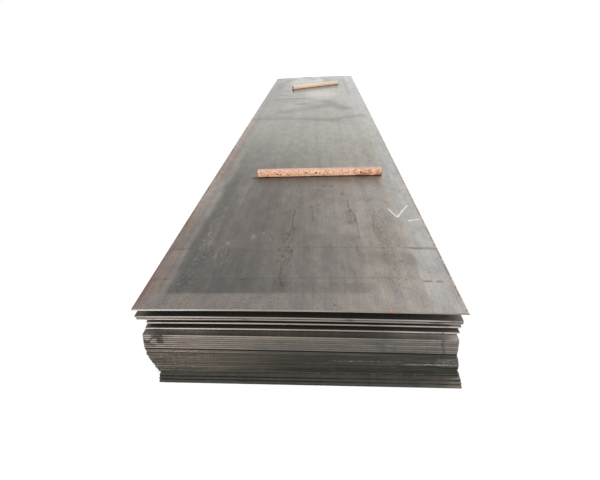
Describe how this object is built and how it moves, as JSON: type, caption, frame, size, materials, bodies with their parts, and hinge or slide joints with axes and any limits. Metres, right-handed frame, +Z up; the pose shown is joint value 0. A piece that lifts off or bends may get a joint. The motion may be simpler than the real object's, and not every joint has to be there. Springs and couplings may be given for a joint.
{
  "type": "stack of steel plates",
  "caption": "Flat stack of long hot-rolled steel plates with timber spacers between the upper plates and loose sawn battens on top.",
  "frame": {"origin": "middle of the lowest plate's underside, on the floor", "axes": "+Z up through the stack, +Y along the plates away from their front end, +X across them to the right of someone at the front end"},
  "size_m": [1.5722, 6.1525, 0.4736],
  "materials": {
    "mill_scale_steel": "hot-rolled mill scale, semi-gloss, with light rust at the edges",
    "sawn_timber": "rough-sawn, bare and dry"
  },
  "bodies": {
    "root": {"plate_01": "mill_scale_steel", "plate_02": "mill_scale_steel", "plate_03": "mill_scale_steel", "plate_04": "mill_scale_steel", "plate_05": "mill_scale_steel", "plate_06": "mill_scale_steel", "plate_07": "mill_scale_steel", "plate_08": "mill_scale_steel", "plate_09": "mill_scale_steel", "plate_10": "mill_scale_steel", "plate_11": "mill_scale_steel", "plate_12": "mill_scale_steel", "plate_13": "mill_scale_steel", "plate_14": "mill_scale_steel", "plate_15": "mill_scale_steel", "plate_16": "mill_scale_steel", "plate_17": "mill_scale_steel", "plate_18": "mill_scale_steel", "plate_19": "mill_scale_steel", "plate_20": "mill_scale_steel", "plate_21": "mill_scale_steel", "plate_22": "mill_scale_steel", "plate_23": "mill_scale_steel", "plate_24": "mill_scale_steel", "plate_25": "mill_scale_steel", "plate_26": "mill_scale_steel", "plate_27": "mill_scale_steel", "plate_28": "mill_scale_steel", "plate_29": "mill_scale_steel", "lath_near": "sawn_timber", "lath_far": "sawn_timber", "lower_spacer_near": "sawn_timber", "lower_spacer_far": "sawn_timber", "upper_spacer_near": "sawn_timber", "upper_spacer_far": "sawn_timber", "loose_batten_near": "sawn_timber", "loose_batten_far": "sawn_timber"}
  },
  "joints": []
}
